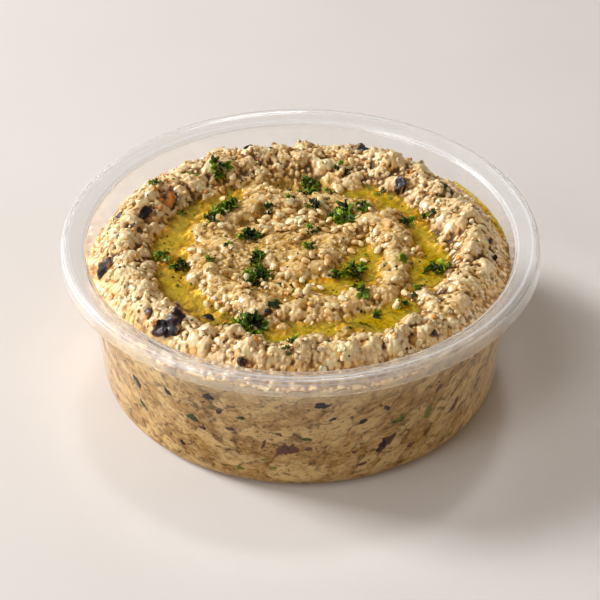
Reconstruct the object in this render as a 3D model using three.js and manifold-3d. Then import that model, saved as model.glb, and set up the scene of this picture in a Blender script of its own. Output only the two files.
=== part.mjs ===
// Baba ganoush heaped in a round clear plastic tub, with pools of oil and flakes of aubergine skin.
// Millimetres, +Z up. The origin is the centre of the tub's base, on the surface that it stands on.

import * as THREE from 'three';
import { mergeVertices } from 'three/addons/utils/BufferGeometryUtils.js';
import Module from 'manifold-3d';

const wasm = await Module();
wasm.setup();

// Driving dimensions of the tub.
const HEIGHT = 47;
const SKIRT_R = 70.3;
const SKIRT_DEPTH = 4.6;
const MOUTH_R = 62.9;
const BASE_R = 60.6;
const CORNER_R = 3.8;
const PLASTIC = 0.7;
const FOOT_INNER_R = 48;
const FOOT_RECESS = 0.8;
const SEGMENTS = 64;

// Driving dimensions of the dip: radius and height of each ring of its swirl, from the middle outwards.
const SWIRL = [
  [0, 44.6],
  [10, 43.8],
  [17, 40.8],
  [21, 40.8],
  [27, 44.2],
  [31, 43.2],
  [36, 39.4],
  [41, 39.4],
  [46.5, 44.4],
  [51.5, 46],
  [57, 42.4],
  [62.5, 35],
];
const SWIRL_SHIFT = 6;
// Azimuth, half width and height of each bank of dip that closes a furrow between two pools.
const OUTER_BANKS = [
  [32, 7, 1.6],
  [72, 12, 3.2],
  [112, 12, 3.0],
  [187, 9, 3.4],
  [247, 13, 3.4],
  [326, 9, 3.2],
];
const INNER_BANKS = [
  [36, 14, 2.4],
  [90, 40, 2.6],
  [180, 44, 2.6],
  [308, 10, 2.2],
];
const OUTER_FURROW_R = 38.5;
const INNER_FURROW_R = 19;
const DIP_RINGS = 24;
const GAP = 0.3;
const OIL_LEVEL = 41.1;
const INNER_OIL_LEVEL = 41.7;
const WALL_OIL_LEVEL = 38.6;

// ---------------------------------------------------------------- finishes

const clearPlastic = new THREE.MeshStandardMaterial({
  color: 0xf2f2f0, roughness: 0.08, metalness: 0, transparent: true, opacity: 0.3,
});
const auberginePulp = new THREE.MeshStandardMaterial({ color: 0xccb084, roughness: 0.45, metalness: 0 });
const oliveOil = new THREE.MeshStandardMaterial({ color: 0xc8a21e, roughness: 0.06, metalness: 0 });
const charredSkin = new THREE.MeshStandardMaterial({ color: 0x24161c, roughness: 0.3, metalness: 0 });
const toastedSkin = new THREE.MeshStandardMaterial({ color: 0x8a5424, roughness: 0.4, metalness: 0 });

// ---------------------------------------------------------------- helpers

const degrees = THREE.MathUtils.degToRad;

// Shared corners only, so that a geometry counts as one closed body.
function welded(geometry) {
  geometry.deleteAttribute('normal');
  geometry.deleteAttribute('uv');
  return mergeVertices(geometry, 1e-4);
}

function toSolid(geometry) {
  const closed = welded(geometry);
  return new wasm.Manifold(new wasm.Mesh({
    numProp: 3,
    vertProperties: Float32Array.from(closed.attributes.position.array),
    triVerts: Uint32Array.from(closed.index.array),
  }));
}

function toGeometry(solid) {
  const mesh = solid.getMesh();
  const geometry = new THREE.BufferGeometry();
  geometry.setAttribute('position', new THREE.BufferAttribute(mesh.vertProperties, 3));
  geometry.setIndex(new THREE.BufferAttribute(mesh.triVerts, 1));
  return geometry;
}

function named(name, geometry, material) {
  const mesh = new THREE.Mesh(geometry, material);
  mesh.name = name;
  return mesh;
}

// A closed section of [radius, height] points turned about the Z axis.
function turned(section) {
  const points = section.map(([r, z]) => new THREE.Vector2(r, z));
  const geometry = new THREE.LatheGeometry(points, SEGMENTS);
  geometry.rotateX(Math.PI / 2);
  return welded(geometry);
}

// A quarter turn of [radius, height] points, from straight below its centre to straight beside it.
function corner(centreR, centreZ, radius, steps) {
  const points = [];
  for (let i = 0; i <= steps; i += 1) {
    const turn = (Math.PI / 2) * (i / steps);
    points.push([centreR + radius * Math.sin(turn), centreZ - radius * Math.cos(turn)]);
  }
  return points;
}

// A smooth random height from -1 to 1 that changes over one cell, the same on every run.
function cellHeight(i, j) {
  const wave = Math.sin(i * 127.1 + j * 311.7) * 43758.5453;
  return 2 * (wave - Math.floor(wave)) - 1;
}

function lump(x, y, cell) {
  const i = Math.floor(x / cell);
  const j = Math.floor(y / cell);
  const u = THREE.MathUtils.smoothstep(x / cell - i, 0, 1);
  const v = THREE.MathUtils.smoothstep(y / cell - j, 0, 1);
  const near = THREE.MathUtils.lerp(cellHeight(i, j), cellHeight(i + 1, j), u);
  const far = THREE.MathUtils.lerp(cellHeight(i, j + 1), cellHeight(i + 1, j + 1), u);
  return THREE.MathUtils.lerp(near, far, v);
}

// ---------------------------------------------------------------- tub

// Radius of the wall's outer face at a height; the inner face is one plastic thickness inside it.
function wallRadius(z) {
  const top = HEIGHT - SKIRT_DEPTH;
  const mouthOuter = MOUTH_R + PLASTIC / 2;
  return BASE_R + (mouthOuter - BASE_R) * (z / top);
}

function tub() {
  const step = 1.5;
  const ledge = HEIGHT - 1.7;
  const outerCorner = corner(wallRadius(0) - CORNER_R, CORNER_R, CORNER_R, 4);
  const innerCorner = corner(wallRadius(0) - CORNER_R, CORNER_R, CORNER_R - PLASTIC, 4);
  const section = [
    [0, FOOT_RECESS],
    [FOOT_INNER_R - step, FOOT_RECESS],
    [FOOT_INNER_R, 0],
    ...outerCorner,
    [wallRadius(HEIGHT - 3.4), HEIGHT - 3.4],
    [SKIRT_R - 4.4, ledge + 0.2],
    [SKIRT_R - 2.1, HEIGHT - PLASTIC],
    [SKIRT_R - 1.3, ledge],
    [SKIRT_R - PLASTIC, HEIGHT - SKIRT_DEPTH],
    [SKIRT_R, HEIGHT - SKIRT_DEPTH],
    [SKIRT_R - 0.5, HEIGHT - 0.9],
    [SKIRT_R - 1.2, HEIGHT],
    [SKIRT_R - 2.8, HEIGHT],
    [SKIRT_R - 4.6, ledge + PLASTIC + 0.2],
    [MOUTH_R + 0.6, ledge + 0.1],
    [MOUTH_R - 0.2, ledge - 0.6],
    [wallRadius(HEIGHT - 4.2) - PLASTIC, HEIGHT - 4.2],
    ...innerCorner.reverse(),
    [FOOT_INNER_R, PLASTIC],
    [FOOT_INNER_R - step, FOOT_RECESS + PLASTIC],
    [0, FOOT_RECESS + PLASTIC],
  ];
  return turned(section);
}

// ---------------------------------------------------------------- dip

// Height of the swirl at a distance from its own middle, with rounded ridges and furrows.
function swirlHeight(distance) {
  const last = SWIRL[SWIRL.length - 1];
  for (let i = 1; i < SWIRL.length; i += 1) {
    const [r0, z0] = SWIRL[i - 1];
    const [r1, z1] = SWIRL[i];
    if (distance <= r1) {
      return THREE.MathUtils.lerp(z0, z1, THREE.MathUtils.smoothstep(distance, r0, r1));
    }
  }
  return last[1];
}

// A hump of height 1 at its middle, gone at its half width.
function hump(distance, halfWidth) {
  return 1 - THREE.MathUtils.smoothstep(Math.abs(distance), 0, halfWidth);
}

// How far the banks across one furrow raise it, in a band of radii about the furrow.
function bankHeight(banks, distance, azimuth, furrowR, halfBand) {
  let height = 0;
  for (const [middle, halfWidth, rise] of banks) {
    const turn = THREE.MathUtils.euclideanModulo(azimuth - middle + 180, 360) - 180;
    height += rise * hump(turn, halfWidth);
  }
  return height * hump(distance - furrowR, halfBand);
}

// The furrows' middle lies towards the front of the tub, but the middle mound and the wall are centred.
function dipHeight(x, y) {
  const r = Math.hypot(x, y);
  const shift = SWIRL_SHIFT * Math.sin(Math.PI * Math.min(r / MOUTH_R, 1));
  const distance = Math.hypot(x, y + shift);
  const azimuth = THREE.MathUtils.radToDeg(Math.atan2(y + shift, x));
  const banks = bankHeight(OUTER_BANKS, distance, azimuth, OUTER_FURROW_R, 12)
    + bankHeight(INNER_BANKS, distance, azimuth, INNER_FURROW_R, 10);
  const broad = 1.0 * lump(x + 3, y - 5, 13);
  const small = 1.2 * lump(x, y, 6.5);
  return swirlHeight(distance) + banks + broad + small;
}

// Rings of [radius, height] at one azimuth, from the middle of the top, over the edge, to the middle below.
function dipSection(azimuth) {
  const cos = Math.cos(azimuth);
  const sin = Math.sin(azimuth);
  const rings = [];
  const edgeR = MOUTH_R - PLASTIC - GAP;
  for (let i = 1; i < DIP_RINGS; i += 1) {
    const r = (edgeR - 1.2) * (i / (DIP_RINGS - 1));
    rings.push([r, dipHeight(r * cos, r * sin)]);
  }
  const edgeZ = dipHeight(edgeR * cos, edgeR * sin);
  rings.push([wallRadius(edgeZ) - PLASTIC - GAP, edgeZ]);
  const below = corner(wallRadius(0) - CORNER_R, CORNER_R, CORNER_R - PLASTIC - GAP, 3).reverse();
  rings.push(...below);
  rings.push([FOOT_INNER_R, PLASTIC + GAP]);
  rings.push([FOOT_INNER_R - 1.8, FOOT_RECESS + PLASTIC + GAP]);
  return rings;
}

function dip() {
  const positions = [0, 0, dipHeight(0, 0)];
  let count = 0;
  for (let s = 0; s < SEGMENTS; s += 1) {
    const azimuth = 2 * Math.PI * (s / SEGMENTS) - Math.PI / 2;
    const section = dipSection(azimuth);
    count = section.length;
    section.forEach(([r, z]) => positions.push(r * Math.cos(azimuth), r * Math.sin(azimuth), z));
  }
  const bottom = positions.length / 3;
  positions.push(0, 0, FOOT_RECESS + PLASTIC + GAP);

  const faces = [];
  for (let s = 0; s < SEGMENTS; s += 1) {
    const here = 1 + s * count;
    const next = 1 + ((s + 1) % SEGMENTS) * count;
    faces.push(0, here, next);
    for (let i = 0; i < count - 1; i += 1) {
      faces.push(here + i, here + i + 1, next + i + 1);
      faces.push(here + i, next + i + 1, next + i);
    }
    faces.push(here + count - 1, bottom, next + count - 1);
  }
  const geometry = new THREE.BufferGeometry();
  geometry.setAttribute('position', new THREE.Float32BufferAttribute(positions, 3));
  geometry.setIndex(faces);
  return geometry;
}

// ---------------------------------------------------------------- flakes of skin

// Name, place, azimuth of the long side, tilt across it, length, width, and how much of it stands proud.
const FLAKES = [
  ['skin_black_front', -35.5, -42.5, 60, 24, 8, 7, 1.0, charredSkin],
  ['skin_black_back', -5.5, 28.5, 10, 30, 7.5, 5.5, 1.2, charredSkin],
  ['skin_purple_back', 31, 27.5, 70, 34, 6.5, 5, 1.2, charredSkin],
  ['skin_purple_rim', 20, 48, 110, 40, 7, 5, 1.4, charredSkin],
  ['skin_toasted_left', -40.5, 19, 80, 38, 9, 5, 1.2, toastedSkin],
  ['skin_purple_left', -46.5, 10, 75, 34, 7.5, 4.5, 1.1, charredSkin],
  ['skin_black_left', -57, -11, 65, 40, 8, 4.5, 1.2, charredSkin],
];
const FLAKE_THICKNESS = 1.7;
const FLAKE_CURL = 0.035;

// A curled flake with an uneven outline, lying flat round the origin, grown all round by an amount.
function flakeBlank(length, width, grow) {
  const corners = 9;
  const outline = [];
  for (let i = 0; i < corners; i += 1) {
    const turn = (2 * Math.PI * i) / corners;
    const uneven = 1 + 0.14 * cellHeight(i, Math.round(length * 10));
    const x = (length / 2) * uneven * Math.cos(turn);
    const y = (width / 2) * uneven * Math.sin(turn);
    const stretch = 1 + grow / Math.hypot(x, y);
    outline.push(new THREE.Vector2(x * stretch, y * stretch));
  }
  const depth = FLAKE_THICKNESS + 2 * grow;
  const geometry = new THREE.ExtrudeGeometry(new THREE.Shape(outline), { depth, bevelEnabled: false });
  geometry.translate(0, 0, -depth / 2);
  const position = geometry.attributes.position;
  for (let i = 0; i < position.count; i += 1) {
    const x = position.getX(i);
    position.setZ(i, position.getZ(i) - FLAKE_CURL * x * x);
  }
  return geometry;
}

function placedFlake([, x, y, azimuth, tilt, length, width, proud], grow) {
  const geometry = flakeBlank(length, width, grow);
  geometry.rotateX(degrees(tilt));
  geometry.rotateZ(degrees(azimuth));
  geometry.translate(x, y, dipHeight(x, y) + proud);
  return toSolid(geometry);
}

// ---------------------------------------------------------------- pools of oil

// Name, level, inner and outer radius about the furrow's middle, and the azimuths where each pool ends.
const POOLS = [
  ['oil_left_back', OIL_LEVEL, 30, 46, 112, 187],
  ['oil_left_front', OIL_LEVEL, 30, 46, 187, 247],
  ['oil_front', OIL_LEVEL, 30, 46, 247, 326],
  ['oil_right', OIL_LEVEL, 30, 46, 326, 392],
  ['oil_right_back', OIL_LEVEL, 30, 46, 32, 72],
  ['oil_inner_front', INNER_OIL_LEVEL, 11, 26, 224, 308],
  ['oil_inner_right', INNER_OIL_LEVEL, 11, 26, 308, 396],
];
const WALL_POOL = ['oil_by_wall', WALL_OIL_LEVEL, 52, MOUTH_R - PLASTIC - GAP - 0.5, 12, 34];
const POOL_DEPTH = 6;

// A flat arc of liquid under its level, before the dip takes its place out of it.
function poolBlank(level, innerR, outerR, start, end, middleY) {
  const shape = new THREE.Shape();
  shape.absarc(0, 0, outerR, degrees(start), degrees(end), false);
  shape.absarc(0, 0, innerR, degrees(end), degrees(start), true);
  const settings = { depth: POOL_DEPTH, bevelEnabled: false, curveSegments: 7 };
  const geometry = new THREE.ExtrudeGeometry(shape, settings);
  geometry.translate(0, middleY, level - POOL_DEPTH);
  return toSolid(geometry);
}

// What of the blank lies above the dip, as one pool: stray puddles beside it are dropped.
function pool([, level, innerR, outerR, start, end], middleY, raisedDip) {
  const left = poolBlank(level, innerR, outerR, start, end, middleY).subtract(raisedDip);
  const puddles = left.decompose().sort((a, b) => b.volume() - a.volume());
  return toGeometry(puddles[0]);
}

// ---------------------------------------------------------------- the whole

const wholeDip = toSolid(dip());
const raisedDip = wholeDip.translate([0, 0, GAP]);
let pocketedDip = wholeDip;
for (const flake of FLAKES) {
  pocketedDip = pocketedDip.subtract(placedFlake(flake, GAP));
}

const object = new THREE.Group();
object.add(named('tub', tub(), clearPlastic));
object.add(named('dip', toGeometry(pocketedDip), auberginePulp));
for (const entry of POOLS) {
  object.add(named(entry[0], pool(entry, -SWIRL_SHIFT, raisedDip), oliveOil));
}
object.add(named(WALL_POOL[0], pool(WALL_POOL, 0, raisedDip), oliveOil));
for (const flake of FLAKES) {
  const material = flake[8];
  object.add(named(flake[0], toGeometry(placedFlake(flake, 0)), material));
}

export default object;
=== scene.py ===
# %% [markdown]
# # Baba ganoush in a clear plastic tub
# A low deli tub of smoky aubergine dip, swirled with a spoon, with olive oil in its furrows.
# Parsley, sesame, pepper and flakes of charred skin lie on top.
# The frame holds the sizes. Everything here is worked out from it, in millimetres, and turned into
# metres only when a mesh is made, because small food reads best in millimetres.

# %% Tools and the frame
import math
import bpy
import numpy as np
from mathutils import Matrix, Vector
from mathutils.bvhtree import BVHTree


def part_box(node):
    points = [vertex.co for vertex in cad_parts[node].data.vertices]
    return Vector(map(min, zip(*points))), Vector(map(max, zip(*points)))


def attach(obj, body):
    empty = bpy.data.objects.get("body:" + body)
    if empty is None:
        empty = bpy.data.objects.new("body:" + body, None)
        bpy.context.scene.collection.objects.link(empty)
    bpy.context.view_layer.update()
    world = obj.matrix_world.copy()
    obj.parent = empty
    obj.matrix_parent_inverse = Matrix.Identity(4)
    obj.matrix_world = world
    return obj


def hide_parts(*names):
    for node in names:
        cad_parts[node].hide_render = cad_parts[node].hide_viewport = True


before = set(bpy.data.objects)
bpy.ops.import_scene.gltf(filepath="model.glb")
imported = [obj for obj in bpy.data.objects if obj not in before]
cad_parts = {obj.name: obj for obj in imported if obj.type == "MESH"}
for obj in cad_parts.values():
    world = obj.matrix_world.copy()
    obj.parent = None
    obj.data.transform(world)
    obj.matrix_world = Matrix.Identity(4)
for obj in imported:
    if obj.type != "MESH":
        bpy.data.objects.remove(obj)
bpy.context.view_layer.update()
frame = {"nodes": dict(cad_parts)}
MM = 0.001
BODY = "root"
print("frame nodes:", ", ".join(frame["nodes"]))

# %% [markdown]
# ## Sizes
# The tub's rim is the widest thing and its top is level, so the rim gives every other radius.
# The wall is a cone, and one straight-line formula gives its radius at any height.

# %% Sizes from the frame
def box_mm(node):
    low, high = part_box(node)
    return np.array(low) / MM, np.array(high) / MM


HEIGHT = box_mm("tub")[1][2]
SKIRT_R = box_mm("tub")[1][0]
SKIRT_DEPTH = 4.6
PLASTIC = 0.7
MOUTH_R = SKIRT_R - 7.4
BASE_R = SKIRT_R - 9.7
CORNER_R = 3.8
FOOT_INNER_R = 48.0
FOOT_RECESS = 0.8


def wall_radius(z):
    """Radius of the wall's inner face at a height."""
    mouth_outer = MOUTH_R + PLASTIC / 2
    return BASE_R + (mouth_outer - BASE_R) * z / (HEIGHT - SKIRT_DEPTH) - PLASTIC


print(f"tub {2 * SKIRT_R:.1f} mm across and {HEIGHT:.1f} mm high")

# %% [markdown]
# ## Camera
# A product shot from a little above table height: a long lens from about half a metre keeps the
# rim's ellipse gentle. The camera aims close to the tub's axis, a little under half its height.

# %% Camera
ELEVATION = math.radians(37.4)
DISTANCE = 455.0
AIM = Vector((-0.2, 0, 20.4))
LENS = 89.9

camera_data = bpy.data.cameras.new("camera")
camera_data.lens = LENS
camera_data.clip_start = 0.01
camera = bpy.data.objects.new("camera", camera_data)
bpy.context.scene.collection.objects.link(camera)
away = Vector((0, -math.cos(ELEVATION), math.sin(ELEVATION)))
camera.location = (AIM + away * DISTANCE) * MM
camera.rotation_mode = "QUATERNION"
camera.rotation_quaternion = (-away).to_track_quat("-Z", "Y")
bpy.context.scene.camera = camera
print("camera at", [round(v, 3) for v in camera.location])

# %% [markdown]
# ## Shader maths as Python
# A node graph written node by node hides the idea behind it. This small class wraps a socket, so
# that `1 - mask * 0.4` adds the Math nodes by itself, and a Finish adds any other node by type.

# %% The socket class and the finish class
class Value:
    """One output of a node, with arithmetic."""

    def __init__(self, finish, socket):
        self.finish, self.socket = finish, socket

    def maths(self, operation, *inputs, clamp=False):
        settings = {"operation": operation, "use_clamp": clamp}
        return self.finish.add("ShaderNodeMath", settings, dict(enumerate(inputs)))

    def __add__(self, other):
        return self.maths("ADD", self, other)

    def __radd__(self, other):
        return self.maths("ADD", other, self)

    def __sub__(self, other):
        return self.maths("SUBTRACT", self, other)

    def __rsub__(self, other):
        return self.maths("SUBTRACT", other, self)

    def __mul__(self, other):
        return self.maths("MULTIPLY", self, other)

    def __rmul__(self, other):
        return self.maths("MULTIPLY", other, self)

    def __pow__(self, other):
        return self.maths("POWER", self, other)

    def clipped(self):
        return self.maths("ADD", self, 0.0, clamp=True)


class Finish:
    """A material that is built up by adding nodes."""

    def __init__(self, name):
        self.material = bpy.data.materials.new(name)
        self.material.use_nodes = True
        self.tree = self.material.node_tree
        self.tree.nodes.clear()

    def add(self, kind, settings=None, inputs=None, output=0):
        node = self.tree.nodes.new(kind)
        for key, value in (settings or {}).items():
            if key == "stops":
                ramp = node.color_ramp.elements
                while len(ramp) < len(value):
                    ramp.new(0.5)
                for stop, (place, colour) in zip(ramp, value):
                    stop.position, stop.color = place, colour
            else:
                setattr(node, key, value)
        for key, value in (inputs or {}).items():
            if isinstance(value, Value):
                self.tree.links.new(value.socket, node.inputs[key])
            else:
                node.inputs[key].default_value = value
        return Value(self, node.outputs[output]) if node.outputs else None

    def attribute(self, name):
        return self.add("ShaderNodeAttribute", {"attribute_name": name}, output="Fac")

    def place(self):
        """Position in millimetres."""
        factors = {0: self.add("ShaderNodeTexCoord", output="Object"), 1: (1 / MM,) * 3}
        return self.add("ShaderNodeVectorMath", {"operation": "MULTIPLY"}, factors)

    def streaked(self, layer, along):
        """Position whose z is a layer's own height and whose x and y are squeezed by along."""
        where = self.place()
        x, y = [self.add("ShaderNodeSeparateXYZ", {}, {0: where}, output=k) for k in (0, 1)]
        return self.add("ShaderNodeCombineXYZ", {}, {0: x * along, 1: y * along, 2: layer})

    def noise(self, scale, detail=3.0, rough=0.55, twist=0.0, where=None):
        """Soft random cloud, with scale in cells per millimetre."""
        inputs = {"Vector": where or self.place(), "Scale": scale, "Detail": detail}
        inputs.update({"Roughness": rough, "Distortion": twist})
        return self.add("ShaderNodeTexNoise", {}, inputs)

    def granules(self, scale):
        """How far each place is from the middle of its granule, about 0 to 0.9."""
        inputs = {"Vector": self.place(), "Scale": scale, "Smoothness": 0.3}
        return self.add("ShaderNodeTexVoronoi", {"feature": "SMOOTH_F1"}, inputs, "Distance")

    def ramp(self, factor, *stops):
        return self.add("ShaderNodeValToRGB", {"stops": stops}, {0: factor})

    def between(self, value, low, high):
        """0 below low, 1 above high, smooth between."""
        inputs = {"Value": value, "From Min": low, "From Max": high}
        return self.add("ShaderNodeMapRange", {"interpolation_type": "SMOOTHSTEP"}, inputs)

    def mix(self, factor, first, second):
        """A mix of two colours, the second where the factor is 1."""
        inputs = {0: factor, 6: first, 7: second}
        return self.add("ShaderNodeMix", {"data_type": "RGBA"}, inputs, output=2)

    def bump(self, height, strength, distance):
        inputs = {"Strength": strength, "Distance": distance * MM, "Height": height}
        return self.add("ShaderNodeBump", {}, inputs)

    def principled(self, **inputs):
        named = {key.replace("_", " "): value for key, value in inputs.items()}
        return self.add("ShaderNodeBsdfPrincipled", {}, named)

    def show(self, shader):
        self.add("ShaderNodeOutputMaterial", {}, {"Surface": shader})
        return self.material


def srgb(red, green, blue):
    """A colour as a paint chart names it, 0 to 255, in the linear light that shaders use."""
    linear = [(c / 255) ** 2.2 for c in (red, green, blue)]
    return (*linear, 1.0)


# %% [markdown]
# ## Light
# Daylight through one large window behind and to the left, with a warm room all round. The window
# draws the long highlights on the rim, and the room fills the shadows. Weaker panels help: one in
# front on the left gives the rim its second bright band, one above the left lights the near ridges,
# and two more, low on the right and high at the back, keep the far side of the rim bright.

# %% Lights
def area_light(name, place, size, watts, colour):
    data = bpy.data.lights.new(name, "AREA")
    data.shape, data.size, data.energy, data.color = "SQUARE", size, watts, colour
    light = bpy.data.objects.new(name, data)
    light.location = place
    light.rotation_mode = "QUATERNION"
    light.rotation_quaternion = (-Vector(place)).to_track_quat("-Z", "Y")
    bpy.context.scene.collection.objects.link(light)


DAYLIGHT = (0.97, 0.98, 1.0)
# Place and size in metres, watts and colour of each light.
LIGHTS = {
    "window": ((-1.38, 0.50, 0.98), 0.48, 29.0, (0.96, 0.98, 1.0)),
    "front_panel": ((-0.95, -0.75, 0.60), 0.5, 3.4, DAYLIGHT),
    "sky_panel": ((-0.70, -0.32, 1.12), 0.5, 2.5, DAYLIGHT),
    "right_panel": ((0.95, -0.10, 0.20), 0.4, 1.0, (1.0, 0.95, 0.90)),
    "back_panel": ((0.10, 0.90, 1.65), 0.22, 4.0, DAYLIGHT),
}
for name, look in LIGHTS.items():
    area_light(name, *look)
print("lights:", ", ".join(LIGHTS))

# %% [markdown]
# The room's own light is warm, while the window's is a little blue, as by day indoors. The table is
# a wide pale floor, matt and faintly clouded like honed stone. It is staged, which keeps it out of
# the part itself.

# %% Room and floor
ROOM_COLOUR = (1.0, 0.78, 0.54, 1.0)
ROOM_STRENGTH = 0.155
world = bpy.data.worlds.new("room")
world.use_nodes = True
world.node_tree.nodes["Background"].inputs["Color"].default_value = ROOM_COLOUR
world.node_tree.nodes["Background"].inputs["Strength"].default_value = ROOM_STRENGTH
bpy.context.scene.world = world
bpy.context.scene.view_settings.view_transform = "Standard"

FLOOR_HALF = 2.0
FLOOR_PALE = srgb(234, 229, 225)
FLOOR_GREY = srgb(226, 219, 213)


def floor():
    finish = Finish("floor")
    cloud = finish.noise(0.012, detail=4.0)
    tone = finish.mix(cloud, FLOOR_PALE, FLOOR_GREY)
    material = finish.show(finish.principled(Base_Color=tone, Roughness=0.75))
    mesh = bpy.data.meshes.new("floor")
    corners = [(x * FLOOR_HALF, y * FLOOR_HALF, 0) for x, y in ((-1, -1), (1, -1), (1, 1), (-1, 1))]
    mesh.from_pydata(corners, [], [(0, 1, 2, 3)])
    mesh.materials.append(material)
    plane = bpy.data.objects.new("floor", mesh)
    bpy.context.scene.collection.objects.link(plane)


floor()

# %% [markdown]
# ## Making meshes from numbers
# All pieces here come from arrays: points as rows of x, y and z, and faces as rows of point
# numbers. One function turns such arrays into an object in metres, smooth-shaded, with the values
# at each point that its finish reads, ties it to the body, and hides the CAD solids that it stands
# for.

# %% From arrays to an object
def build(name, points, faces, finish, replaces, values, second=None):
    """faces is a list of arrays, each with the same number of corners in every row.

    second is another finish, and how many of the last arrays of faces take it.
    """
    mesh = bpy.data.meshes.new(name)
    points = np.asarray(points, dtype=np.float32) * MM
    loops = np.concatenate([np.asarray(f, dtype=np.int32).ravel() for f in faces])
    sizes = np.concatenate([np.full(len(f), np.shape(f)[1], dtype=np.int32) for f in faces])
    starts = np.concatenate([[0], np.cumsum(sizes)[:-1]]).astype(np.int32)
    mesh.vertices.add(len(points))
    mesh.vertices.foreach_set("co", points.ravel())
    mesh.loops.add(len(loops))
    mesh.loops.foreach_set("vertex_index", loops)
    mesh.polygons.add(len(sizes))
    mesh.polygons.foreach_set("loop_start", starts)
    mesh.update(calc_edges=True)
    mesh.validate()
    mesh.polygons.foreach_set("use_smooth", np.ones(len(mesh.polygons), dtype=bool))
    for key, numbers in values.items():
        layer = mesh.attributes.new(key, "FLOAT", "POINT")
        layer.data.foreach_set("value", np.asarray(numbers, dtype=np.float32))
    mesh.materials.append(finish)
    if second:
        mesh.materials.append(second[0])
        takes_second = np.arange(len(sizes)) >= sum(len(f) for f in faces[:-second[1]])
        mesh.polygons.foreach_set("material_index", takes_second.astype(np.int32))
    piece = bpy.data.objects.new(name, mesh)
    bpy.context.scene.collection.objects.link(piece)
    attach(piece, BODY)
    if replaces:
        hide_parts(*replaces)
    print(f"{name}: {sum(sizes - 2)} triangles")


def grid_faces(rows, columns, closed, start=0):
    """Quads between rows of a grid of points; closed joins the last column to the first."""
    across = columns if closed else columns - 1
    r, c = np.meshgrid(np.arange(rows - 1), np.arange(across), indexing="ij")
    a = start + r * columns + c
    b = start + r * columns + (c + 1) % columns
    return np.stack([a, b, b + columns, a + columns], axis=-1).reshape(-1, 4)


# %% [markdown]
# ## The tub
# A thin moulded tub: a foot ring, a rounded corner, a tapered wall and a rolled rim whose skirt
# hangs down outside. It is turned from one closed section. Moulded plastic has no sharp corners,
# and the bright lines that a rim shows are its rounded edges, so every corner of the section gets
# an arc. On the rim's arcs the finish also adds white milk, a painted highlight along them.

# %% The tub's section
EDGE_RADIUS = 0.5
ARC_STEPS = 4
CORNER_STEPS = 8
STRAIGHT_COSINE = 0.94


def rounded(section):
    """The same closed section with each corner between two straight runs made an arc.

    The rim's corners, above its skirt, get twice the radius. The second result is 1 on an arc.
    """
    points, on_arc = [], []
    section = [np.array(p, dtype=float) for p in section]
    for i, here in enumerate(section):
        before, after = section[i - 1], section[(i + 1) % len(section)]
        back, on = before - here, after - here
        straight = -(back @ on) / (np.hypot(*back) * np.hypot(*on)) > STRAIGHT_COSINE
        if here[0] == 0 or straight:
            points.append(here)
            on_arc.append(0.0)
            continue
        wide = EDGE_RADIUS * (2 if here[1] > HEIGHT - SKIRT_DEPTH + 0.5 else 1)
        cut = min(wide, 0.48 * np.hypot(*back), 0.48 * np.hypot(*on))
        first = here + back / np.hypot(*back) * cut
        last = here + on / np.hypot(*on) * cut
        for t in np.linspace(0, 1, ARC_STEPS + 1):
            points.append((1 - t) ** 2 * first + 2 * t * (1 - t) * here + t * t * last)
            on_arc.append(4 * t * (1 - t))
    return np.array(points), np.array(on_arc)


def corner_arc(radius, steps):
    """Places on the arc between the base and the wall, from the base up."""
    turns = np.linspace(0, math.pi / 2, steps + 1)
    centre = wall_radius(0) + PLASTIC - CORNER_R
    return [(centre + radius * math.sin(t), CORNER_R - radius * math.cos(t)) for t in turns]


def tub_section():
    step = 1.5
    ledge = HEIGHT - 1.7
    outer = [
        (0, FOOT_RECESS),
        (FOOT_INNER_R - step, FOOT_RECESS),
        (FOOT_INNER_R, 0),
        *corner_arc(CORNER_R, CORNER_STEPS),
        (wall_radius(HEIGHT - 3.4) + PLASTIC, HEIGHT - 3.4),
        (SKIRT_R - 4.4, ledge + 0.2),
        (SKIRT_R - 2.1, HEIGHT - PLASTIC),
        (SKIRT_R - 1.3, ledge),
        (SKIRT_R - PLASTIC, HEIGHT - SKIRT_DEPTH),
    ]
    inner = [
        (SKIRT_R, HEIGHT - SKIRT_DEPTH),
        (SKIRT_R - 0.5, HEIGHT - 0.9),
        (SKIRT_R - 1.2, HEIGHT),
        (SKIRT_R - 2.8, HEIGHT),
        (SKIRT_R - 4.6, ledge + PLASTIC + 0.2),
        (MOUTH_R + 0.6, ledge + 0.1),
        (MOUTH_R - 0.2, ledge - 0.6),
        (wall_radius(HEIGHT - 4.2), HEIGHT - 4.2),
        *reversed(corner_arc(CORNER_R - PLASTIC, CORNER_STEPS)),
        (FOOT_INNER_R, PLASTIC),
        (FOOT_INNER_R - step, FOOT_RECESS + PLASTIC),
        (0, FOOT_RECESS + PLASTIC),
    ]
    points, on_arc = rounded(outer + inner)
    underside = np.arange(len(points)) < np.argmax(points[:, 0])
    return points, np.where(underside, 0, on_arc)


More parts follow.
